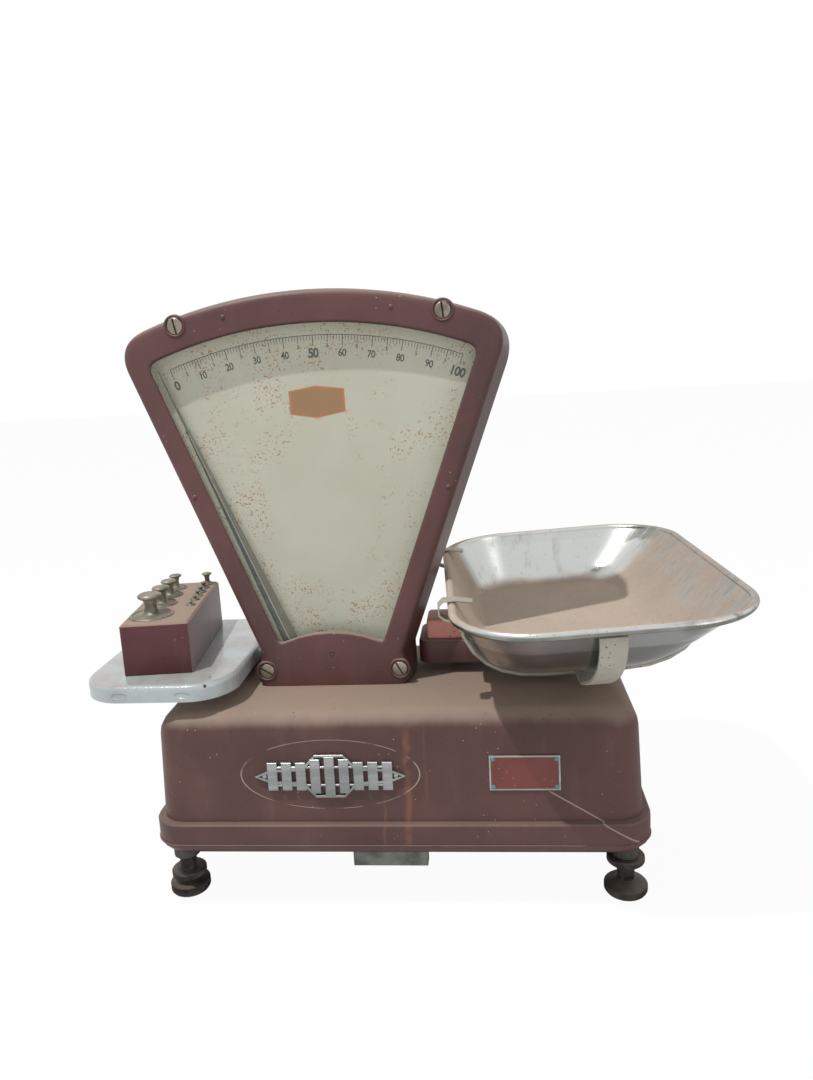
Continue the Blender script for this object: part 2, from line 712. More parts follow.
def make_beam():
    """The beam on its knife edge, tipped to the weights side, with a pin for each carrier and the dashpot."""
    pivot = frame("beam_pivot", ROOT, (HEAD_X, BEAM_Y, PIVOT_Z), (0, -SWING / 2, 0))
    end = ARM_LENGTH + BEAM_OVERHANG
    waist = BEAM_DEPTH
    outline = [
        (-end, -BEAM_END_DEPTH / 2),
        (-waist, -BEAM_DEPTH / 2),
        (waist, -BEAM_DEPTH / 2),
        (end, -BEAM_END_DEPTH / 2),
        (end, BEAM_END_DEPTH / 2),
        (waist, BEAM_DEPTH / 2),
        (-waist, BEAM_DEPTH / 2),
        (-end, BEAM_END_DEPTH / 2),
    ]
    hole = [circle(0, 0, KNIFE_RADIUS + GAP)]
    beam = piece("balance_beam", slab("balance_beam", outline, BEAM_THICKNESS, hole), STEEL, pivot)
    reach = POST_SIDE_GAP + POST_THICKNESS + BEAM_THICKNESS / 2 + GAP
    for side in (-1, 1):
        mesh = rod("carrier_pin", PIN_RADIUS, reach, "Y")
        pin = helper("carrier_pin", mesh, pivot, (side * ARM_LENGTH, reach / 2, 0))
        combine(beam, pin, "UNION")
    dash_reach = DASH_Y - BEAM_Y + EYE_SIZE / 2
    mesh = rod("dash_pin", DASH_PIN_RADIUS, dash_reach, "Y")
    dash_pin = helper("dash_pin", mesh, pivot, (DASH_REACH, dash_reach / 2, 0))
    combine(beam, dash_pin, "UNION")
    knife_length = BEAM_THICKNESS + 2 * (CHEEK_CLEARANCE + CHEEK_THICKNESS)
    piece("beam_knife_pin", rod("beam_knife_pin", KNIFE_RADIUS, knife_length, "Y"), BLACK_STEEL, pivot)


def make_check_link():
    """The link under the beam that keeps both carriers upright."""
    pivot = frame("link_pivot", ROOT, (HEAD_X, BEAM_Y, LINK_Z), (0, -SWING / 2, 0))
    length = 2 * (ARM_LENGTH + BEAM_OVERHANG / 2)
    link = piece("check_link", block("check_link", length, BEAM_THICKNESS, LINK_DEPTH), STEEL, pivot)
    knife_length = BEAM_THICKNESS + 2 * (CHEEK_CLEARANCE + CHEEK_THICKNESS)
    middle = helper("link_pin", rod("link_pin", PIN_RADIUS, knife_length, "Y"), pivot)
    combine(link, middle, "UNION")
    reach = POST_SIDE_GAP + POST_THICKNESS + BEAM_THICKNESS / 2 + GAP
    for side in (-1, 1):
        mesh = rod("link_end_pin", PIN_RADIUS, reach, "Y")
        pin = helper("link_end_pin", mesh, pivot, (side * ARM_LENGTH, reach / 2, 0))
        combine(link, pin, "UNION")


def make_fulcrum_bracket():
    """Two cheeks on one foot, with a bearing for the beam above one for the check link."""
    inner = BEAM_THICKNESS / 2 + CHEEK_CLEARANCE
    outer = inner + CHEEK_THICKNESS
    base_z = CHASSIS_TOP + GAP
    foot = piece(
        "fulcrum_bracket",
        block("fulcrum_bracket", 2 * BRACKET_FOOT_HALF, 2 * outer, BRACKET_FOOT),
        CAST_IRON,
        ROOT,
        (HEAD_X, BEAM_Y, base_z + BRACKET_FOOT / 2),
    )
    top = PIVOT_Z + CHEEK_HEAD
    height = top - base_z - BRACKET_FOOT / 2
    for side in (-1, 1):
        cheek = helper(
            "cheek",
            block("cheek", 2 * CHEEK_HALF_WIDTH, CHEEK_THICKNESS, height),
            ROOT,
            (HEAD_X, BEAM_Y + side * (inner + CHEEK_THICKNESS / 2), top - height / 2),
        )
        combine(foot, cheek, "UNION")
    for radius, z in ((KNIFE_RADIUS, PIVOT_Z), (PIN_RADIUS, LINK_Z)):
        mesh = rod("bearing", radius + GAP, 2 * outer + OVERRUN, "Y")
        bore = helper("bearing", mesh, ROOT, (HEAD_X, BEAM_Y, z))
        combine(foot, bore, "DIFFERENCE")


def make_shaft_bracket():
    """The bracket that carries the pointer shaft in two bearings."""
    base_z = CHASSIS_TOP + GAP
    front = FRONT_BEARING_Y - CHEEK_THICKNESS / 2
    rear = REAR_BEARING_Y + CHEEK_THICKNESS / 2
    foot = piece(
        "shaft_bracket",
        block("shaft_bracket", 2 * BEARING_HALF_WIDTH, rear - front, BRACKET_FOOT),
        CAST_IRON,
        ROOT,
        (HEAD_X, (front + rear) / 2, base_z + BRACKET_FOOT / 2),
    )
    top = SHAFT_Z + SHAFT_HEAD
    height = top - base_z - BRACKET_FOOT / 2
    for y in (FRONT_BEARING_Y, REAR_BEARING_Y):
        cheek = helper(
            "shaft_cheek",
            block("shaft_cheek", 2 * BEARING_HALF_WIDTH, CHEEK_THICKNESS, height),
            ROOT,
            (HEAD_X, y, top - height / 2),
        )
        combine(foot, cheek, "UNION")
    mesh = rod("shaft_bore", SHAFT_RADIUS + GAP, rear - front + OVERRUN, "Y")
    bore = helper("shaft_bore", mesh, ROOT, (HEAD_X, (front + rear) / 2, SHAFT_Z))
    combine(foot, bore, "DIFFERENCE")


def pointer_y(rear):
    """The plane of a pointer, behind its glass."""
    return REAR_Y - POINTER_SETBACK if rear else FRONT_Y + POINTER_SETBACK


def make_pointer_shaft():
    """The shaft with its drum, pendulum and a pointer at each end, turned to the reading of an empty pan."""
    shaft_frame = frame("pointer_axis", ROOT, (HEAD_X, 0, SHAFT_Z))
    front, rear = pointer_y(False) - SHAFT_END, pointer_y(True) + SHAFT_END
    mesh = rod("pointer_shaft", SHAFT_RADIUS, rear - front, "Y")
    piece("pointer_shaft", mesh, STEEL, shaft_frame, (0, (front + rear) / 2, 0))
    bore = [circle(0, 0, SHAFT_RADIUS + GAP)]
    drum = slab("tape_drum", circle(0, 0, DRUM_RADIUS, 32), DRUM_WIDTH, bore)
    piece("tape_drum", drum, BRASS, shaft_frame, (0, DRUM_Y, 0))
    half_hub = math.asin(PENDULUM_ARM_HALF / PENDULUM_HUB)
    half_bob = math.asin(PENDULUM_ARM_HALF / PENDULUM_BOB_RADIUS)
    down, up = -math.pi / 2, math.pi / 2
    outline = arc(0, 0, PENDULUM_HUB, down + half_hub, down + math.tau - half_hub)
    outline += arc(0, -PENDULUM_REACH, PENDULUM_BOB_RADIUS, up + half_bob, up + math.tau - half_bob)
    pendulum = slab("pendulum", outline, PENDULUM_THICKNESS, bore)
    piece("pendulum", pendulum, CAST_IRON, shaft_frame, (0, PENDULUM_Y, 0), (0, PENDULUM_LEAN, 0))
    half_bar = math.asin(POINTER_HALF / POINTER_HUB)
    for name, is_rear in (("front_pointer", False), ("rear_pointer", True)):
        blade = [
            *arc(0, 0, POINTER_HUB, up + half_bar, up + math.tau - half_bar),
            (POINTER_WIDEST_HALF, POINTER_WIDEST),
            (POINTER_BAR_END_HALF, POINTER_BAR_END),
            (2 * POINTER_TIP_HALF, POINTER_SHOULDER),
            (POINTER_TIP_HALF, POINTER_LENGTH),
            (-POINTER_TIP_HALF, POINTER_LENGTH),
            (-2 * POINTER_TIP_HALF, POINTER_SHOULDER),
            (-POINTER_BAR_END_HALF, POINTER_BAR_END),
            (-POINTER_WIDEST_HALF, POINTER_WIDEST),
        ]
        mesh = slab(name, blade, POINTER_THICKNESS, bore)
        piece(name, mesh, POINTER_PAINT, shaft_frame, (0, pointer_y(is_rear), 0), (0, POINTER_REST, 0))


def side_half(at_shaft, height, grow=0.0):
    """Half the width between the head's sloping sides, at a height above the shaft."""
    return at_shaft + grow / math.cos(SIDE_ANGLE) + height * math.tan(SIDE_ANGLE)


def fan_outline(lower, at_shaft, top_radius, top_corner, grow):
    """A fan's outline from its lower right-hand half, closed by a side, a rounded corner and the top arc."""
    offset = side_half(at_shaft, 0, grow) * math.cos(SIDE_ANGLE)
    meet = SIDE_ANGLE + math.asin(offset / top_radius)
    corner = (top_radius * math.sin(meet), top_radius * math.cos(meet))
    below = (corner[0] - top_corner * math.sin(SIDE_ANGLE), corner[1] - top_corner * math.cos(SIDE_ANGLE))
    arc_start = meet - top_corner / top_radius
    on_arc = (top_radius * math.sin(arc_start), top_radius * math.cos(arc_start))
    half = [*lower, *bend(below, corner, on_arc, CORNER_STEPS)]
    steps = 8
    for step in range(1, steps + 1):
        turn = arc_start * (1 - step / steps)
        half.append((top_radius * math.sin(turn), top_radius * math.cos(turn)))
    return half + [(-x, z) for x, z in reversed(half[1:-1])]


def head_outline(grow, foot_grow, top_grow):
    """The head's outer outline: a straight foot with a flange, a waist and the fan above it."""
    foot = HEAD_FOOT_HALF + foot_grow
    corner = HEAD_FOOT_CORNER
    waist = HEAD_BOTTOM + HEAD_WAIST_LIFT
    lower = [(foot * share, HEAD_BOTTOM) for share in HEAD_FOOT_POINT_SHARES]
    lower += [
        (foot - corner, HEAD_BOTTOM),
        (foot, HEAD_BOTTOM + corner),
        (foot, HEAD_BOTTOM + HEAD_FLANGE),
        (side_half(HEAD_SIDE_AT_SHAFT, waist, grow), waist),
    ]
    return fan_outline(lower, HEAD_SIDE_AT_SHAFT, HEAD_TOP_RADIUS + top_grow, HEAD_TOP_CORNER + grow, grow)


def window_outline(grow):
    """The window's outline, whose lower edge is an arc about the pointer shaft."""
    radius = WINDOW_BOTTOM_RADIUS - grow
    at_shaft = WINDOW_SIDE_AT_SHAFT
    offset = side_half(at_shaft, 0, grow) * math.cos(SIDE_ANGLE)
    meet = SIDE_ANGLE + math.asin(offset / radius)
    corner = (radius * math.sin(meet), radius * math.cos(meet))
    size = WINDOW_BOTTOM_CORNER
    stop = meet - size / radius
    lower = [(radius * math.sin(stop * share), radius * math.cos(stop * share)) for share in (0, 1 / 3, 2 / 3)]
    above = (corner[0] + size * math.sin(SIDE_ANGLE), corner[1] + size * math.cos(SIDE_ANGLE))
    lower += bend((radius * math.sin(stop), radius * math.cos(stop)), corner, above, 3)
    return fan_outline(lower, at_shaft, WINDOW_TOP_RADIUS + grow, WINDOW_TOP_CORNER, grow)


def facing(outline, depth, rear):
    """An outline set at a depth from the head's front plane or its rear one, in the order the loft needs."""
    y = REAR_Y - depth if rear else FRONT_Y + depth
    loop = [Vector((x, y, z)) for x, z in outline]
    return loop[::-1] if rear else loop


def make_head():
    """Two shells of one shape, glass and dial in each, and four screws through both."""
    head = frame("head", ROOT, (HEAD_X, 0, SHAFT_Z))
    depth = SEAM_Y - FRONT_Y
    deep = depth - SEAM_GAP
    for side, rear in (("front", False), ("rear", True)):
        loops = [
            facing(window_outline(0), 0, rear),
            facing(head_outline(-EDGE_ROUND, -EDGE_ROUND, -EDGE_ROUND), 0, rear),
            facing(head_outline(-EDGE_ROUND / 4, -EDGE_ROUND / 4, -EDGE_ROUND / 4), EDGE_ROUND / 4, rear),
            facing(head_outline(0, 0, 0), EDGE_ROUND, rear),
            facing(head_outline(SIDE_DRAFT, FOOT_DRAFT, TOP_DRAFT), deep - SEAM_BAND, rear),
            facing(head_outline(SIDE_DRAFT, FOOT_DRAFT, TOP_DRAFT), deep, rear),
        ]
        shell = piece(side + "_head_shell", loft(side + "_head_shell", loops), MAROON, head)
        thicken(shell, HEAD_WALL)
        open_depth = deep - 2 * HEAD_WALL + OVERRUN
        open_start = 2 * HEAD_WALL
        y = REAR_Y - open_start - open_depth / 2 if rear else FRONT_Y + open_start + open_depth / 2
        passage = helper(
            side + "_foot_passage",
            block(side + "_passage", 2 * PASSAGE_HALF_WIDTH, open_depth, HEAD_WALL + OVERRUN),
            head,
            (0, y, HEAD_BOTTOM),
        )
        combine(shell, passage, "DIFFERENCE")
        add_screw_seats(shell, head, rear)
        glass_y = HEAD_WALL + GAP + GLASS_THICKNESS / 2
        glass = slab(side + "_glass", window_outline(GLASS_MARGIN), GLASS_THICKNESS)
        piece(side + "_glass", glass, GLASS, head, (0, REAR_Y - glass_y if rear else FRONT_Y + glass_y, 0))
        make_dial(side, rear, head)
    for place, x, z in screw_places():
        y = FRONT_Y + COUNTERBORE_DEPTH
        profile = [
            (0, SCREW_HEAD_HEIGHT),
            (SCREW_HEAD_RADIUS - COUNTERBORE_DEPTH, SCREW_HEAD_HEIGHT),
            (SCREW_HEAD_RADIUS, SCREW_HEAD_HEIGHT - COUNTERBORE_DEPTH),
            (SCREW_HEAD_RADIUS, GAP),
            (SCREW_SHANK_RADIUS, GAP),
            (SCREW_SHANK_RADIUS, -SCREW_REACH),
            (0, -SCREW_REACH),
        ]
        screw = turned(place + "_head_screw", profile, STEEL, head, (x, y, z), steps=12)
        screw.rotation_euler = (math.pi / 2, 0, 0)


def screw_places():
    """Name, X and height above the shaft of each head screw."""
    return (
        ("top_left", -SCREW_TOP_HALF, SCREW_TOP_RISE),
        ("top_right", SCREW_TOP_HALF, SCREW_TOP_RISE),
        ("foot_left", -SCREW_FOOT_HALF, SCREW_FOOT_RISE),
        ("foot_right", SCREW_FOOT_HALF, SCREW_FOOT_RISE),
    )


def add_screw_seats(shell, head, rear):
    """Counterbored holes in the front shell, or the threaded sleeves that reach forward from the rear one."""
    for place, x, z in screw_places():
        bore = SCREW_SHANK_RADIUS + GAP
        if not rear:
            mesh = rod("seat", SCREW_HEAD_RADIUS + GAP, 2 * COUNTERBORE_DEPTH, "Y")
            seat = helper(place + "_seat", mesh, head, (x, FRONT_Y, z))
            hole = helper(place + "_hole", rod("hole", bore, 2 * OVERRUN, "Y"), head, (x, FRONT_Y, z))
            combine(shell, seat, "DIFFERENCE")
            combine(shell, hole, "DIFFERENCE")
            continue
        start = FRONT_Y + HEAD_WALL + EDGE_ROUND
        stop = REAR_Y - HEAD_WALL / 2
        mesh = rod("sleeve", bore + SLEEVE_WALL, stop - start, "Y")
        sleeve = helper(place + "_sleeve", mesh, head, (x, (start + stop) / 2, z))
        combine(shell, sleeve, "UNION")
        thread = SCREW_REACH + OVERRUN / 2
        hollow = helper(place + "_thread", rod("thread", bore, 2 * thread, "Y"), head, (x, FRONT_Y, z))
        combine(shell, hollow, "DIFFERENCE")


def make_dial(side, rear, head):
    """The dial, a shallow tray whose rim stands against the glass, open below for the pointer."""
    rim = HEAD_WALL + 2 * GAP + GLASS_THICKNESS
    back = DIAL_RECESS + DIAL_PLATE
    outline = window_outline(GLASS_MARGIN)
    loops = [facing(outline, rim, rear), facing(outline, back, rear)]
    tray = piece(side + "_dial", loft(side + "_dial", loops, cap_last=True), DIAL_PAINT, head)
    thicken(tray, DIAL_PLATE)
    tall = 2 * (WINDOW_BOTTOM_RADIUS - GLASS_MARGIN) * (1 - math.cos(SIDE_ANGLE * 2)) / 2
    cut_depth = DIAL_RECESS - rim + OVERRUN
    y = REAR_Y - DIAL_RECESS + cut_depth / 2 if rear else FRONT_Y + DIAL_RECESS - cut_depth / 2
    mouth = helper(
        side + "_dial_mouth",
        block(side + "_mouth", 2 * DIAL_PASSAGE_HALF, cut_depth - GAP, tall + OVERRUN),
        head,
        (0, y, WINDOW_BOTTOM_RADIUS - GLASS_MARGIN - tall / 2),
    )
    combine(tray, mouth, "DIFFERENCE")


def make_carriers():
    """The two posts on the beam's ends, each with a table and a cover over the hole that it rises through."""
    for side, sign, post_x, shift_x, length in (
        ("right", 1, RIGHT_POST_X, RIGHT_COVER_SHIFT, RIGHT_COVER_LENGTH),
        ("left", -1, LEFT_POST_X, LEFT_COVER_SHIFT, LEFT_COVER_LENGTH),
    ):
        lift = sign * CARRIER_HALF_TRAVEL
        carrier = frame(side + "_carrier", ROOT, (post_x, POST_Y, lift))
        cover_bottom = BASE_TOP + CARRIER_HALF_TRAVEL + COVER_LIFT
        cover_top = cover_bottom + COVER_HEIGHT
        table_top = cover_top - COVER_WALL - GAP
        bottom = LINK_Z - POST_BELOW_LINK
        height = table_top - bottom
        mesh = block(side + "_post", POST_WIDTH, POST_THICKNESS, height)
        post = piece(side + "_post", mesh, STEEL, carrier, (0, 0, bottom + height / 2))
        shift_y = COVER_Y - POST_Y
        table = helper(
            side + "_table",
            block(side + "_table", TABLE_LENGTH, TABLE_DEPTH, TABLE_THICKNESS),
            carrier,
            (shift_x, shift_y, table_top - TABLE_THICKNESS / 2),
        )
        combine(post, table, "UNION")
        for z in (PIVOT_Z, LINK_Z):
            hole = helper(
                side + "_pin_hole",
                rod("pin_hole", PIN_RADIUS + POST_HOLE_CLEARANCE, POST_THICKNESS + OVERRUN, "Y"),
                carrier,
                (0, 0, z),
            )
            combine(post, hole, "DIFFERENCE")
        loops = []
        half_x, half_y = length / 2, COVER_DEPTH / 2
        for inset, drop in (
            (COVER_ROUND, 0),
            (COVER_ROUND / 4, COVER_ROUND / 4),
            (0, COVER_ROUND),
            (0, COVER_HEIGHT),
        ):
            loops.append(
                rounded_rectangle(
                    shift_x - half_x + inset,
                    shift_x + half_x - inset,
                    shift_y - half_y + inset,
                    shift_y + half_y - inset,
                    COVER_CORNER - inset / 2,
                    cover_top - drop,
                )
            )
        cover = piece(side + "_cover", loft(side + "_cover", loops, cap_first=True), MAROON, carrier)
        thicken(cover, COVER_WALL)
        if side == "right":
            add_goods_side(carrier, cover, cover_top, lift)
        else:
            make_weights_plate(carrier, cover_top)


def pan_corner(share):
    """The pan's plan at a share of the way from floor to rim: left, right, front, back and corner radius."""
    half_x = PAN_LENGTH / 2 - 2 * BEAD_RADIUS + PAN_SHEET
    half_y = PAN_DEPTH / 2 - 2 * BEAD_RADIUS + PAN_SHEET
    left = -half_x + FLOOR_LEFT_INSET * (1 - share)
    right = half_x - FLOOR_RIGHT_INSET * (1 - share)
    front = -half_y + FLOOR_FRONT_INSET * (1 - share)
    back = half_y - FLOOR_BACK_INSET * (1 - share)
    radius = PAN_FLOOR_CORNER + (PAN_RIM_CORNER - PAN_FLOOR_CORNER) * share
    return left, right, front, back, radius


def pan_loop(out_share, up_share, out=0.0, up=0.0):
    """One level of the pan's outer skin, clockwise from above, with an offset for the rolled rim."""
    left, right, front, back, radius = pan_corner(out_share)
    height = PAN_HEIGHT * up_share + up
    return rounded_rectangle(left - out, right + out, front - out, back + out, radius + out, height)[::-1]


def make_goods_pan():
    """The pressed pan with its rolled rim."""
    pan_frame = frame("pan_frame", ROOT, PAN_PLACE, PAN_TURN)
    loops = [pan_loop(out, up) for out, up in PAN_WALL_SHARES]
    curl = BEAD_RADIUS - PAN_SHEET
    for quarter in (1, 2, 3, 4, 5):
        turn = quarter * math.pi / 4
        loops.append(pan_loop(1, 1, curl * (1 - math.cos(turn)), curl * math.sin(turn)))
    pan = piece("goods_pan", loft("goods_pan", loops, cap_first=True), ALUMINIUM, pan_frame)
    thicken(pan, PAN_SHEET)
    make_clips(pan_frame)


def strap_side(towards, hub, half, level, sign, drop_share):
    """One arm of a strap, from the pan's wall below the rim, round a broad bend, to the hub's flat."""
    below, top = PAN_WALL_SHARES[-2:]
    out_share, up_share = (a + (b - a) * STRAP_REACH_SHARE for a, b in zip(below, top))
    wall = pan_corner(out_share)[2 * towards + (1 if sign > 0 else 0)]
    end = (wall + sign * (STRAP_CLEARANCE + STRAP_THICKNESS / 2), PAN_HEIGHT * up_share)
    corner = (end[0], end[1] + (level - end[1]) * drop_share)
    return bend(end, corner, (hub + sign * half, level), BEND_STEPS)


def make_cradle(carrier, lift):
    """Two crossed straps, flat at the hub, that reach up to the pan's walls."""
    place = (PAN_PLACE[0] - RIGHT_POST_X, PAN_PLACE[1] - POST_Y, PAN_PLACE[2] - lift)
    cradle = frame("cradle", carrier, place, PAN_TURN)
    upper = STRAP_THICKNESS + GAP - HUB_DROP
    for name, towards, hub, half, level, drops in (
        ("long_strap", 0, HUB_X, HUB_HALF_X, -HUB_DROP, LONG_STRAP_DROP_SHARES),
        ("cross_strap", 1, HUB_Y, HUB_HALF_Y, upper, CROSS_STRAP_DROP_SHARES),
    ):
        near = strap_side(towards, hub, half, level, -1, drops[0])
        far = strap_side(towards, hub, half, level, 1, drops[1])
        mesh = ribbon(name, [*near, *reversed(far)], STRAP_WIDTH, STRAP_THICKNESS)
        if towards:
            piece(name, mesh, STRAP_PAINT, cradle, (HUB_X, 0, 0), (0, 0, math.pi / 2))
        else:
            piece(name, mesh, STRAP_PAINT, cradle, (0, HUB_Y, 0))
    return cradle


def add_goods_side(carrier, cover, cover_top, lift):
    """What the goods-side carrier holds: the cradle, the tape's arm and the tare box."""
    cradle = make_cradle(carrier, lift)
    seat_z = STRAP_THICKNESS * 1.5 + 2 * GAP - HUB_DROP
    hub_place = Vector(PAN_PLACE) + Euler(PAN_TURN).to_matrix() @ Vector((HUB_X, HUB_Y, seat_z))
    low = hub_place.z - lift - BRACKET_END * math.sin(PAN_RISE_RIGHT + PAN_RISE_BACK)
    start = Vector((POST_WIDTH / 2 + GAP, 0))
    stop = Vector((hub_place.x + BRACKET_END - RIGHT_POST_X, hub_place.y - POST_Y))
    run = stop - start
    middle = (start + stop) / 2
    turn = (0, 0, math.atan2(run.y, run.x))
    bar = piece(
        "pan_bracket",
        block("pan_bracket", run.length, BRACKET_WIDTH, BRACKET_THICKNESS),
        STRAP_PAINT,
        carrier,
        (middle.x, middle.y, low + BRACKET_THICKNESS / 2),
        turn,
    )
    below = helper(
        "hub_seat",
        block("hub_seat", 4 * BRACKET_WIDTH, 4 * BRACKET_WIDTH, 2 * OVERRUN),
        cradle,
        (HUB_X, HUB_Y, seat_z - OVERRUN),
    )
    combine(bar, below, "DIFFERENCE")
    relief = helper(
        "post_relief",
        block("post_relief", POST_WIDTH + 2 * GAP, BRACKET_WIDTH + OVERRUN, BRACKET_THICKNESS + OVERRUN),
        carrier,
        (0, 0, low),
    )
    combine(bar, relief, "DIFFERENCE")
    notch_height = BRACKET_THICKNESS + 2 * GAP
    notch = helper(
        "cover_notch",
        block("cover_notch", run.length, BRACKET_WIDTH + 4 * GAP, 4 * notch_height),
        carrier,
        (middle.x, middle.y, low + BRACKET_THICKNESS + 2 * GAP - 2 * notch_height),
        turn,
    )
    combine(cover, notch, "DIFFERENCE")
    make_tape(carrier, lift)
    loops = []
    for inset, level in (
        (TARE_ROUND, TARE_HEIGHT),
        (0, TARE_HEIGHT - TARE_ROUND),
        (0, 0),
    ):
        x, y = RIGHT_COVER_SHIFT + TARE_SHIFT_X, COVER_Y + TARE_SHIFT_Y - POST_Y
        loops.append(
            rounded_rectangle(
                x - TARE_LENGTH / 2 + inset,
                x + TARE_LENGTH / 2 - inset,
                y - TARE_DEPTH / 2 + inset,
                y + TARE_DEPTH / 2 - inset,
                TARE_ROUND + GAP,
                cover_top + GAP + level,
            )
        )
    piece("tare_box", loft("tare_box", loops, True, True), TARE_RED, carrier)


def make_tape(carrier, lift):
    """The arm that reaches back under the shaft, and the steel tape that turns the drum."""
    tape_x = HEAD_X + DRUM_RADIUS + GAP + TAPE_THICKNESS / 2
    arm_top = SHAFT_Z - TAPE_ARM_DROP + CARRIER_HALF_TRAVEL - lift
    arm_low = arm_top - TAPE_ARM_DEPTH
    bridge_low = PIVOT_Z + BEAM_DEPTH / 2 + CARRIER_HALF_TRAVEL + TAPE_ARM_CLEAR - lift
    bridge_top = bridge_low + TAPE_ARM_BRIDGE
    inner = tape_x + TAPE_THICKNESS / 2 - TAPE_TAIL
    right = RIGHT_POST_X
    left = right - TAPE_ARM_DEPTH
    outline = [
        (inner, arm_low),
        (right, arm_low),
        (right, bridge_top),
        (left, bridge_top),
        (left, arm_top),
        (inner, arm_top),
    ]
    outline = [(x - RIGHT_POST_X, z) for x, z in outline]
    mesh = slab("tape_arm", outline, TAPE_ARM_WIDTH)
    arm = piece("tape_arm", mesh, STEEL, carrier, (0, DRUM_Y - POST_Y, 0))
    reach = POST_Y - POST_THICKNESS / 2 - GAP - DRUM_Y
    bridge = helper(
        "tape_arm_bridge",
        block("tape_arm_bridge", TAPE_ARM_DEPTH, reach, TAPE_ARM_BRIDGE),
        carrier,
        (-TAPE_ARM_DEPTH / 2, DRUM_Y + reach / 2 - POST_Y, bridge_low + TAPE_ARM_BRIDGE / 2),
    )
    combine(arm, bridge, "UNION")
    tape_low = arm_top + GAP
    tape_top = SHAFT_Z + TAPE_TAIL - lift
    piece(
        "steel_tape",
        block("steel_tape", TAPE_THICKNESS, TAPE_WIDTH, tape_top - tape_low),
        STEEL,
        carrier,
        (tape_x - RIGHT_POST_X, DRUM_Y - POST_Y, (tape_top + tape_low) / 2),
    )


def make_weights_plate(carrier, cover_top):
    """The enamelled plate with its turned-down skirt, on the weights side's cover."""
    x, y = PLATE_SHIFT, PLATE_Y - POST_Y
    top = cover_top + GAP + PLATE_THICKNESS
    loops = []
    for inset, drop in (
        (PLATE_EDGE_ROUND, 0),
        (PLATE_EDGE_ROUND / 3, PLATE_EDGE_ROUND / 4),
        (0, PLATE_EDGE_ROUND),
        (0, PLATE_SKIRT),
    ):
        loops.append(
            rounded_rectangle(
                x - PLATE_LENGTH / 2 + inset,
                x + PLATE_LENGTH / 2 - inset,
                y - PLATE_DEPTH / 2 + inset,
                y + PLATE_DEPTH / 2 - inset,
                PLATE_CORNER - inset,
                top - drop,
            )
        )
    plate = piece("weights_plate", loft("weights_plate", loops, cap_first=True), ENAMEL, carrier)
    thicken(plate, PLATE_THICKNESS)
    make_weight_box(carrier, top + GAP)


def make_weight_box(carrier, bottom):
    """The box that stands askew on the plate, bored for each weight."""
    box_frame = frame(
        "weight_box_frame",
        carrier,
        (PLATE_SHIFT + BOX_SHIFT_X, PLATE_Y + BOX_SHIFT_Y - POST_Y, bottom),
        (0, 0, BOX_YAW),
    )
    half_x, half_y = BOX_WIDTH / 2, BOX_LENGTH / 2
    loops = []
    for inset, level in ((BOX_ROUND, BOX_HEIGHT), (0, BOX_HEIGHT - BOX_ROUND), (0, 0)):
        loops.append(
            rounded_rectangle(
                inset - half_x, half_x - inset, inset - half_y, half_y - inset, BOX_ROUND + GAP, level
            )
        )
    box = piece("weight_box", loft("weight_box", loops, True, True), DARK_MAROON, box_frame)
    large_x = BOX_WALL + WEIGHT_RADIUS + SOCKET_CLEARANCE - half_x
    small_x = half_x - SMALL_ROW_INSET
    for x, row, steps in (
        (large_x, LARGE_WEIGHT_SHARES, LARGE_STEPS),
        (small_x, SMALL_WEIGHT_SHARES, SMALL_STEPS),
    ):
        for name, place, *sizes in row:
            radius, knob, knob_height = (WEIGHT_RADIUS * share for share in sizes)
            add_weight(box, box_frame, name, (x, BOX_LENGTH * place), radius, knob, knob_height, steps)


def add_weight(box, box_frame, name, place, radius, knob, knob_height, steps):
    """A knob weight and its socket in the box."""
    depth = SOCKET_DEPTH * min(1, radius / WEIGHT_RADIUS + NECK_SHARE)
    mesh = rod("socket", radius + SOCKET_CLEARANCE, 2 * depth, segments=steps)
    combine(box, helper(name + "_socket", mesh, box_frame, (*place, BOX_HEIGHT)), "DIFFERENCE")
    body = depth - GAP + WEIGHT_PROUD
    neck = knob * NECK_SHARE
    edge = knob * KNOB_EDGE_SHARE
    profile = [
        (0, body + knob_height),
        (knob - edge, body + knob_height - edge / 2),
        (knob, body + knob_height - 2 * edge),
        (knob - edge, body + knob_height - 3 * edge),
        (neck, body + knob_height * (1 - NECK_SHARE)),
        (neck + edge, body + edge),
        (radius - edge, body),
        (radius, body - edge),
        (radius, 0),
        (0, 0),
    ]
    turned(name, profile, BRASS, box_frame, (*place, BOX_HEIGHT - depth + GAP), steps=steps)


def make_clips(pan_frame):
    """Two bent strips that hook over the pan's left rim."""
    left = pan_corner(1)[0]
    out = BEAD_RADIUS
    for name, y in (("front_clip", CLIP_FRONT_Y), ("rear_clip", CLIP_BACK_Y)):
        top = PAN_HEIGHT + BEAD_RADIUS + GAP + CLIP_THICKNESS
        bead_out = left - 2 * out - GAP - CLIP_THICKNESS
        path = [
            (left + CLIP_INSIDE, top - CLIP_LOOP / 4),
            (left + CLIP_THICKNESS, top),
            (bead_out, top),
            (bead_out - CLIP_LOOP / 3, top - CLIP_LOOP / 3),
            (bead_out - CLIP_LOOP / 3, top - CLIP_LOOP),
            (bead_out, top - 4 / 3 * CLIP_LOOP),
            (left - out, top - 3 / 2 * CLIP_LOOP),
        ]
        piece(name, ribbon(name, path, CLIP_WIDTH, CLIP_THICKNESS), STRAP_PAINT, pan_frame, (0, y, 0))


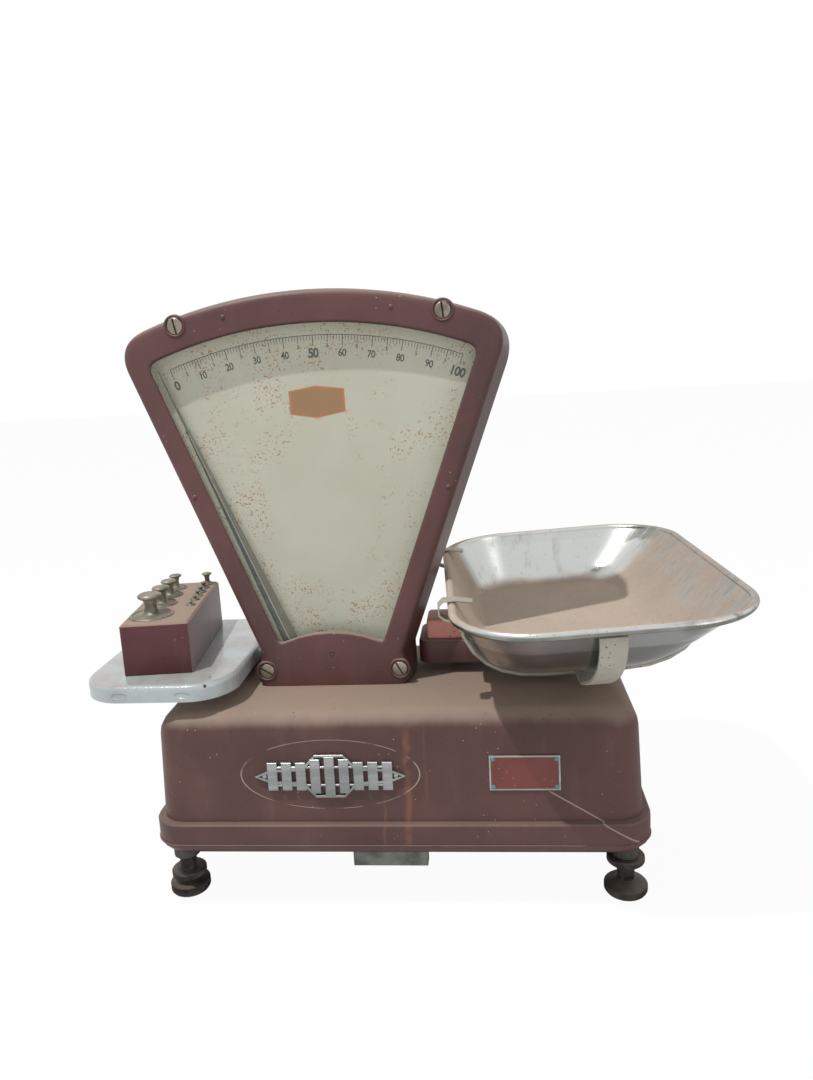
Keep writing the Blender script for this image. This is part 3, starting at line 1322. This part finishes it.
def make_dashpot():
    """A small pot of oil with a piston that the beam moves."""
    x = HEAD_X + DASH_REACH
    bottom = CHASSIS_TOP + GAP
    cup = [
        (0, DASH_FLOOR),
        (DASH_RADIUS - DASH_WALL, DASH_FLOOR),
        (DASH_RADIUS - DASH_WALL, DASH_HEIGHT),
        (DASH_RADIUS, DASH_HEIGHT),
        (DASH_RADIUS, 0),
        (0, 0),
    ]
    turned("dashpot_cylinder", cup, STEEL, ROOT, (x, DASH_Y, bottom), steps=20)
    lift = DASH_REACH * math.sin(SWING / 2)
    eye_z = PIVOT_Z + lift
    disc_bottom = bottom + DASH_FLOOR + PISTON_LIFT
    rod_top = eye_z - EYE_SIZE / 2 + GAP
    piston_profile = [
        (0, rod_top),
        (ROD_RADIUS, rod_top),
        (ROD_RADIUS, disc_bottom + PISTON_THICKNESS),
        (PISTON_RADIUS, disc_bottom + PISTON_THICKNESS),
        (PISTON_RADIUS, disc_bottom),
        (0, disc_bottom),
    ]
    piston = turned("dashpot_piston", piston_profile, STEEL, ROOT, (x, DASH_Y, 0), steps=20)
    eye = helper("piston_eye", block("piston_eye", EYE_SIZE, EYE_SIZE, EYE_SIZE), ROOT, (x, DASH_Y, eye_z))
    combine(piston, eye, "UNION")
    hole = helper(
        "piston_hole",
        rod("piston_hole", DASH_PIN_RADIUS + POST_HOLE_CLEARANCE, EYE_SIZE + OVERRUN, "Y"),
        ROOT,
        (x, DASH_Y, eye_z),
    )
    combine(piston, hole, "DIFFERENCE")


def front_face_y(height):
    """The casing's front face at a height."""
    return -(PLINTH_DEPTH / 2 - body_inset(height))


def make_front_plates():
    """The emblem, the rating plate and the block that is stamped at each inspection."""
    lean = math.atan(BODY_DRAFT_SHARE)
    half, high = EMBLEM_LENGTH / 2, EMBLEM_HEIGHT / 2
    bar = high * EMBLEM_BAR_SHARE
    shoulder = half * EMBLEM_SHOULDER_SHARE
    point = half * EMBLEM_BAR_SHARE / 2
    outline = [
        (-half, 0),
        (-half + bar, -bar),
        (-shoulder, -bar),
        (-point, -high),
        (point, -high),
        (shoulder, -bar),
        (half - bar, -bar),
        (half, 0),
        (half - bar, bar),
        (shoulder, bar),
        (point, high),
        (-point, high),
        (-shoulder, bar),
        (-half + bar, bar),
    ]
    stand = EMBLEM_THICKNESS / 2 + GAP
    mesh = slab("emblem", outline, EMBLEM_THICKNESS)
    piece("emblem", mesh, BRUSHED, ROOT, (EMBLEM_X, front_face_y(EMBLEM_Z) - stand, EMBLEM_Z), (-lean, 0, 0))
    stand = RATING_THICKNESS / 2 + GAP
    piece(
        "rating_plate",
        block("rating_plate", RATING_LENGTH, RATING_THICKNESS, RATING_HEIGHT),
        PLATE_RED,
        ROOT,
        (RATING_X, front_face_y(RATING_Z) - stand, RATING_Z),
        (-lean, 0, 0),
    )
    y = -PLINTH_DEPTH / 2 + STAMP_SETBACK + SKIRT_ROUND + STAMP_DEPTH / 2
    stamp = piece(
        "stamp_block",
        block("stamp_block", STAMP_LENGTH, STAMP_DEPTH, STAMP_HEIGHT),
        ZINC,
        ROOT,
        (STAMP_X, y, STAMP_BOTTOM + STAMP_HEIGHT / 2),
    )
    neck_top = PLINTH_CLEARANCE + CHASSIS_LIFT - GAP
    neck_low = STAMP_BOTTOM + STAMP_HEIGHT / 2
    neck = helper(
        "stamp_neck",
        block("stamp_neck", STAMP_LENGTH * STAMP_NECK_SHARE, STAMP_DEPTH / 2, neck_top - neck_low),
        ROOT,
        (STAMP_X, y, (neck_top + neck_low) / 2),
    )
    combine(stamp, neck, "UNION")


def centre_on_footprint():
    """Moves the whole scale so that the middle of its outline on the ground is the origin."""
    bpy.context.view_layer.update()
    graph = bpy.context.evaluated_depsgraph_get()
    corners = []
    for item in PARTS.objects:
        if item.type == "MESH":
            solid = item.evaluated_get(graph)
            corners += [solid.matrix_world @ vertex.co for vertex in solid.data.vertices]
    middle_x = (min(p.x for p in corners) + max(p.x for p in corners)) / 2
    middle_y = (min(p.y for p in corners) + max(p.y for p in corners)) / 2
    ROOT.location = (-middle_x, -middle_y, 0)


make_base_casing()
make_chassis()
make_feet()
make_beam()
make_check_link()
make_fulcrum_bracket()
make_shaft_bracket()
make_pointer_shaft()
make_head()
make_carriers()
make_goods_pan()
make_dashpot()
make_front_plates()
centre_on_footprint()
print("The casing's middle lies at", tuple(round(v, 5) for v in ROOT.location))
